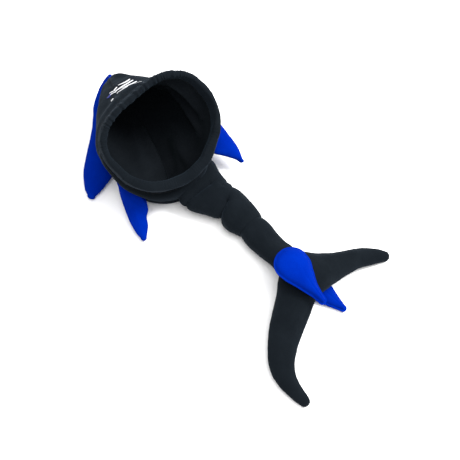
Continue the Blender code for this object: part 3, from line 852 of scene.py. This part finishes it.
def stuffed_shape(ribs, steps, columns, root_round, tip_round, flange=0.0, edge=1.1, pinch=0.0, dart=0.0):
    """Points and faces of a stuffed fin. ribs hold the front edge x, y, z, the rear edge x, y, z and the
    half thickness. flange is the flat border outside the seam and edge half its thickness. pinch puckers
    the seam, and dart presses a crease down the middle."""
    rows = smooth_rows(ribs, np.linspace(0, len(ribs) - 1, steps)) * MM
    middle, half, thick = (rows[:, :3] + rows[:, 3:6]) / 2, (rows[:, :3] - rows[:, 3:6]) / 2, rows[:, 6]
    ahead = unit(np.gradient(middle, axis=0))
    normal = unit(np.cross(half, ahead))
    width = np.linalg.norm(half, axis=1)
    end_rows = 8
    swing = np.arange(1, end_rows + 1) / end_rows * radians(84)
    for first, radius in ((True, root_round * MM), (False, tip_round * MM)):
        k = 0 if first else -1
        out = ahead[k] * (-1 if first else 1)
        out = out - half[k] * (out @ half[k]) / width[k] ** 2
        turned = swing[::-1] if first else swing
        new = (
            middle[k] + unit(out)[None] * (np.sin(turned) * radius)[:, None],
            half[k][None] * np.cos(turned)[:, None],
            thick[k] + 0 * turned,
            np.repeat(normal[k][None], end_rows, 0),
            width[k] + 0 * turned,
        )
        pairs = zip(new, (middle, half, thick, normal, width))
        joined = [np.concatenate((end, row) if first else (row, end)) for end, row in pairs]
        middle, half, thick, normal, width = joined
        ahead = np.concatenate((np.repeat(ahead[:1], end_rows, 0), ahead) if first else (ahead, ahead[-1:]))
    spread = -np.cos(np.linspace(0, pi, columns))
    flat = middle[:, None] + half[:, None] * spread[None, :, None]
    border = np.concatenate((flat[:, 0], flat[:, -1], flat[0], flat[-1]))
    inset = np.min(np.linalg.norm(flat[:, :, None] - border[None, None], axis=-1), axis=-1)
    room = np.maximum(width[:, None] - flange * MM, 3 * MM)
    swell = np.clip((inset - flange * MM) / room, 0, 1)
    height = edge * MM + (thick[:, None] - edge * MM) * np.sqrt(1 - (1 - swell) ** 2)
    seam_run = np.cumsum(np.linalg.norm(np.diff(flat[:, 0], axis=0, prepend=flat[:1, 0]), axis=1))[:, None]
    near_seam = np.exp(-np.maximum(inset - flange * MM, 0) / (5 * MM)) * (inset > 0.2 * MM)
    height = height + pinch * MM * near_seam * np.sin(seam_run / (2.1 * MM) + 4 * spread[None])
    tapered = np.clip(np.linspace(-0.9, 2.4, len(flat)), 0, 1)[:, None]
    height = height - dart * MM * tapered * np.exp(-((spread[None] - 0.08) / 0.07) ** 2) * (swell > 0.2)
    faces_up = normal[:, None] * height[..., None]
    soft = cloth_noise(flat, 17 * MM, 31)[..., None] * normal[:, None] * 0.8 * MM * swell[..., None]
    rings = np.concatenate((flat + faces_up + soft, (flat - faces_up + soft)[:, ::-1]), axis=1) + LAY_SHIFT
    round_count = 2 * columns
    faces = tube_faces(len(rings), round_count)
    for first in (0, (len(rings) - 1) * round_count):
        for k in range(columns - 1):
            faces.append((first + k, first + k + 1, first + round_count - 2 - k, first + round_count - 1 - k))
    return rings.reshape(-1, 3), faces


# From the tip of the long lobe, past the end of the tail, to the tip of the short lobe.
TAIL_FIN_RIBS = (
    (275, -151, 8, 279, -134, 8, 7.5),
    (255, -153, 9.5, 261, -128, 9.5, 8.5),
    (227, -150, 11.5, 246, -121, 11.5, 9.5),
    (200, -137, 14, 232, -108, 14, 11),
    (176, -113, 18, 219, -84, 17, 12.5),
    (155, -82, 23, 210, -60, 21, 14),
    (136, -46, 29, 203, -38, 26, 15.5),
    (117, -14, 36, 196, -17, 33, 16.5),
    (107, 16, 37, 191, 2, 35, 17),
    (112, 42, 36, 194, 20, 33, 16.5),
    (135, 63, 28, 198, 46, 26, 15),
    (161, 92, 21, 204, 70, 20, 12.5),
    (183, 124, 15, 212, 97, 14, 10.5),
    (205, 144, 11, 224, 120, 11, 9),
    (223, 154, 8.5, 234, 138, 8.5, 7.5),
)
# The last length of the tail: x, y, z, half width, half height, from inside the crease to inside the fin.
LAST_LENGTH = (
    (3, 32.5, 23, 6, 6),
    (6, 32.5, 23, 15, 12),
    (12, 32, 23, 21, 17),
    (19, 31.5, 23, 24, 19.5),
    (28, 30, 23.5, 26.5, 21.5),
    (42, 27.5, 24, 27.5, 22.5),
    (60, 24, 25, 26.5, 21.5),
    (80, 21, 28, 25, 19.5),
    (98, 20, 32, 26, 16.5),
    (112, 18, 34, 27, 14),
    (122, 17, 34, 20, 10),
)
REMESH = 2.4 * MM


def round_sleeve(rows, steps, columns, heading):
    x, y, z, wide, high = (smooth_rows(rows, np.linspace(0, len(rows) - 1, steps)) * MM).T
    turn = np.linspace(0, 2 * pi, columns, endpoint=False)
    across = np.array((-sin(heading), cos(heading), 0))
    ring = np.stack((x, y, z), -1)[:, None] + np.cos(turn)[None, :, None] * wide[:, None, None] * across
    ring = ring + np.sin(turn)[None, :, None] * high[:, None, None] * np.array((0, 0, 1.0)) + LAY_SHIFT
    faces = tube_faces(steps, columns) + zipped(0, columns) + zipped((steps - 1) * columns, columns)
    return ring.reshape(-1, 3), faces


def one_skin(name, solids, voxel, rounds, finish):
    """One smooth skin round solids that run into each other."""
    points = np.vstack([p for p, f in solids])
    faces, first = [], 0
    for p, f in solids:
        faces += [tuple(i + first for i in face) for face in f]
        first += len(p)
    piece = make_piece(name, points, faces, finish)
    remesh = piece.modifiers.new("skin", "REMESH")
    remesh.mode = "VOXEL"
    remesh.voxel_size = voxel
    smooth = piece.modifiers.new("ease", "SMOOTH")
    smooth.factor = 0.5
    smooth.iterations = rounds
    return baked(piece)


def baked(piece):
    """The piece with its modifiers applied."""
    mesh = bpy.data.meshes.new_from_object(piece.evaluated_get(bpy.context.evaluated_depsgraph_get()))
    piece.modifiers.clear()
    old, piece.data = piece.data, mesh
    bpy.data.meshes.remove(old)
    mesh.name = piece.name
    mesh.shade_smooth()
    return piece


STUFFING_FRAMES = 20


def stuffed_by_pressure(piece, swell, pressure=4.0):
    """Blows the cloth up from inside for a moment and keeps up to swell of the movement."""
    rest = np.array([v.co for v in piece.data.vertices])
    cloth = piece.modifiers.new("stuffing", "CLOTH")
    cloth.settings.use_pressure = True
    cloth.settings.uniform_pressure_force = pressure
    cloth.settings.quality = 5
    cloth.settings.tension_stiffness = 12
    cloth.settings.compression_stiffness = 12
    cloth.settings.bending_stiffness = 0.6
    cloth.settings.effector_weights.gravity = 0
    cloth.point_cache.frame_start, cloth.point_cache.frame_end = 1, STUFFING_FRAMES
    scene = bpy.context.scene
    for step in range(1, STUFFING_FRAMES + 1):
        scene.frame_set(step)
    baked(piece)
    scene.frame_set(1)
    moved = np.array([v.co for v in piece.data.vertices]) - rest
    far = np.linalg.norm(moved, axis=1, keepdims=True)
    kept = rest + moved * np.minimum(1, swell / np.maximum(far, 1e-9))
    kept[:, 2] = np.maximum(kept[:, 2], TABLE_CLEARANCE)
    piece.data.vertices.foreach_set("co", kept.astype(np.float32).ravel())
    piece.data.update()
    return piece


def crinkled(piece, creases=()):
    """Lifts the cloth a little along its normals: slow swells, fine wrinkles and the pull of creases."""
    mesh = piece.data
    points = np.array([v.co for v in mesh.vertices])
    normals = np.array([v.normal for v in mesh.vertices])
    lift = cloth_noise(points, 24 * MM, 41) * 1.0 * MM + cloth_noise(points, 8 * MM, 42) * 0.3 * MM
    lift = lift - sum((crease_pull(points, crease) for crease in creases), np.zeros(len(points)))
    points = points + normals * lift[:, None]
    points[:, 2] = np.maximum(points[:, 2], TABLE_CLEARANCE)
    mesh.vertices.foreach_set("co", points.astype(np.float32).ravel())
    mesh.update()
    return piece


tail_end = one_skin(
    "tail_end",
    [round_sleeve(LAST_LENGTH, 90, 96, radians(-7)), stuffed_shape(TAIL_FIN_RIBS, 150, 31, 7, 7, edge=2.2)],
    REMESH, 9, BLACK_FLEECE,
)
stuffed_by_pressure(tail_end, 2.5 * MM)
crinkled(tail_end)
subdivide = tail_end.modifiers.new("finer", "SUBSURF")
subdivide.levels = subdivide.render_levels = 1
baked(tail_end)
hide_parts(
    "tail_length_3_cover", "tail_length_3_filling", "tail_fin_upper_panel", "tail_fin_lower_panel",
    "tail_fin_filling",
)
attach(tail_end, "tail_end")

# ---- dorsal fin: royal blue fleece, stuffed, sewn into the crown seam. Lying upside down, the hat
# folds it over to the wearer's right and stands on it. Its first rib is inside the seam.

DORSAL_RIBS = (
    (-349, 68, 82, -334, 50, 28, 6.5),
    (-362, 76, 82, -352, 52, 22, 9),
    (-369, 58, 62, -353, 30, 15, 9.5),
    (-364, 30, 38, -337, 12, 11, 10),
    (-342, -7, 15, -298, 0, 11, 10.5),
    (-312, -47, 14, -255, -17, 11, 11),
    (-287, -80, 12, -242, -48, 11, 10),
    (-261, -102, 10, -235, -81, 10, 9),
    (-247, -109, 9, -234, -100, 9, 7),
)
BLUE_FLEECE = fleece(
    "blue_fleece", (0.0, 0.0100, 0.190), (0.0002, 0.0240, 0.33),
    sheen=0.0, sheen_tint=(0.02, 0.3, 1.0), nap=0.001, depth=0.0003,
)


NECK_AT = 6 * MM  # the middle of a neck, past the joint
NECK_LONG = 9 * MM
NECK_WIDE = 15 * MM


def blue_fin(name, ribs, bodies, joint, reach, swell=1.5 * MM, bend_from=0, neck=0, **shape):
    """A stuffed blue fin sewn to a body at its joint. reach is not used.
    neck is how far its root swells up, or down if negative, to meet that body, in millimetres, along the line
    from rib bend_from towards the next."""
    points, faces = stuffed_shape(ribs, 110, 33, **shape)
    hinge = hinges[joint]
    root, second = (Vector(np.add(rib[:3], rib[3:6])) for rib in ribs[bend_from:bend_from + 2])
    ahead = (second - root).normalized()
    if neck:
        away = points - np.array(hinge)
        along, across = away @ np.array(ahead), away[:, 1]
        near = np.exp(-(((along - NECK_AT) / NECK_LONG) ** 2) - (across / NECK_WIDE) ** 2)
        facing = np.clip(away[:, 2] * (1 if neck > 0 else -1) / MM, 0, 1)
        points[:, 2] += neck * MM * near * facing
    points[:, 2] = np.maximum(points[:, 2], TABLE_CLEARANCE)
    fin = make_piece(name, points, faces, BLUE_FLEECE)
    stuffed_by_pressure(fin, swell, 2.5)
    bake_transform(fin)
    return fin


def panels_of(node, *panels):
    return [f"{node}_{panel}" for panel in (*panels, "filling")]


dorsal_fin = blue_fin(
    "dorsal_fin", DORSAL_RIBS, ("hat", "dorsal_fin"), "dorsal_fin_fold", 0.03,
    bend_from=1, root_round=4, tip_round=6, pinch=0.25,
)
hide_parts(*panels_of("dorsal_fin", "left_panel", "right_panel"))

# ---- pectoral fins: a pair in the same blue fleece, sewn into the side seams above the rim. The right
# one trails down to the table; the left one stands out from the hat and its tip touches down.

RIGHT_PECTORAL_RIBS = (
    (-211, -62, 42, -141, -60, 34, 10),
    (-203, -67, 34, -135, -64, 28, 10.5),
    (-186, -79, 23, -130, -73, 21, 10),
    (-153, -96, 16, -119, -82, 16, 9),
    (-128, -105, 12, -112, -92, 11, 7.5),
    (-114, -107, 9, -107, -99, 9, 6),
)
LEFT_PECTORAL_RIBS = (
    (-172, 138, 88, -125, 95, 55, 10),
    (-152, 139, 69, -117, 90, 48, 10.5),
    (-128, 137, 54, -104, 99, 43, 10),
    (-106, 134, 43, -91, 108, 38, 9),
    (-89, 129, 34, -83, 115, 31, 7.5),
    (-79, 124, 28, -77, 117, 27, 6),
)
for side, ribs in (("right", RIGHT_PECTORAL_RIBS), ("left", LEFT_PECTORAL_RIBS)):
    body = f"{side}_pectoral_fin"
    fin = blue_fin(
        body, ribs, ("hat", body), f"{body}_flap", 0.03, root_round=9, tip_round=5, pinch=0.25,
    )
    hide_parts(*panels_of(body, "front_panel", "rear_panel"))

# ---- small tail fins: a pair of blue teardrops, one sewn on top of the tail's end and one under it.
# Their seam is topstitched a few millimetres in from the edge, which leaves a flat border.

UPPER_SMALL_RIBS = (
    (131, 34, 70.5, 124, -25, 70.5, 11),
    (146, 29.5, 69.5, 140, -24.5, 69.5, 11),
    (160, 20, 67, 156, -21, 67, 10.5),
    (176, 9, 63, 173, -17.5, 63, 9.5),
    (190, 3, 59, 187.5, -14.5, 59, 8),
    (202, 0, 55, 200, -14, 55, 6.5),
)
LOWER_SMALL_RIBS = (
    (134, 54, 7.5, 133, 2, 7.5, 6.2),
    (146, 55, 7.5, 145, 1, 7.5, 6.5),
    (165, 51, 7.5, 165, 1, 7.5, 6.5),
    (190, 42, 7.5, 192, 4, 7.5, 6.5),
    (212, 34, 7, 214, 11, 7, 6),
    (228, 29, 6.5, 229, 16, 6.5, 5.5),
)
for name, ribs, joint, head_round, neck in (
    ("upper_small_fin", UPPER_SMALL_RIBS, "upper_small_fin_lift", 28, -26),
    ("lower_small_fin", LOWER_SMALL_RIBS, "lower_small_fin_droop", 17, 13),
):
    fin = blue_fin(
        name, ribs, ("tail_end", name), joint, 0.035, swell=0.8 * MM, neck=neck,
        root_round=head_round, tip_round=7, flange=3.2, edge=1.3, pinch=0.12, dart=1.4,
    )
    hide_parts(*panels_of(name, "outer_panel", "inner_panel"))

# ---- table, light and camera: a pale seamless table under a large soft light from the upper right.

def flat_square(name, half, height):
    mesh = bpy.data.meshes.new(name)
    corners = [(-half, -half, height), (half, -half, height), (half, half, height), (-half, half, height)]
    mesh.from_pydata(corners, [], [(0, 1, 2, 3)])
    made = bpy.data.objects.new(name, mesh)
    bpy.context.scene.collection.objects.link(made)
    return made


table_top = flat_square("table_top", 6.0, 0.0)
pale = bpy.data.materials.new("pale_table")
pale.use_nodes = True
pale.node_tree.nodes["Principled BSDF"].inputs["Base Color"].default_value = (0.95, 0.95, 0.95, 1)
pale.node_tree.nodes["Principled BSDF"].inputs["Roughness"].default_value = 0.7
table_top.data.materials.append(pale)


def soft_light(name, place, aim, size, watts, colour=(1, 1, 1)):
    lamp = bpy.data.lights.new(name, "AREA")
    lamp.shape = "DISK"
    lamp.size = size
    lamp.energy = watts
    lamp.color = colour
    made = bpy.data.objects.new(name, lamp)
    made.location = place
    made.rotation_euler = (Vector(aim) - Vector(place)).to_track_quat("-Z", "Y").to_euler()
    bpy.context.scene.collection.objects.link(made)


middle = (Vector(cad_low) + Vector(cad_high)) / 2
soft_light("window", middle + Vector((0.7, 1.0, 1.45)), middle, 0.7, 47)
soft_light("ceiling", middle + Vector((0.3, 0.0, 2.2)), middle, 2.0, 44)
world = bpy.data.worlds.new("studio")
world.use_nodes = True
world.node_tree.nodes["Background"].inputs["Color"].default_value = (1, 1, 1, 1)
world.node_tree.nodes["Background"].inputs["Strength"].default_value = 0.84
bpy.context.scene.world = world
bpy.context.scene.view_settings.view_transform = "Standard"

AZIMUTH, ELEVATION, DISTANCE = radians(41), radians(64), 1.10
AIM = Vector((0.048, -0.0005, 0.0292))
back = Vector((sin(AZIMUTH) * cos(ELEVATION), -cos(AZIMUTH) * cos(ELEVATION), sin(ELEVATION)))
lens = bpy.data.cameras.new("camera")
lens.lens = 50
lens.sensor_width = 36
camera = bpy.data.objects.new("camera", lens)
camera.location = AIM + back * DISTANCE
camera.rotation_euler = (-back).to_track_quat("-Z", "Y").to_euler()
bpy.context.scene.collection.objects.link(camera)
bpy.context.scene.camera = camera
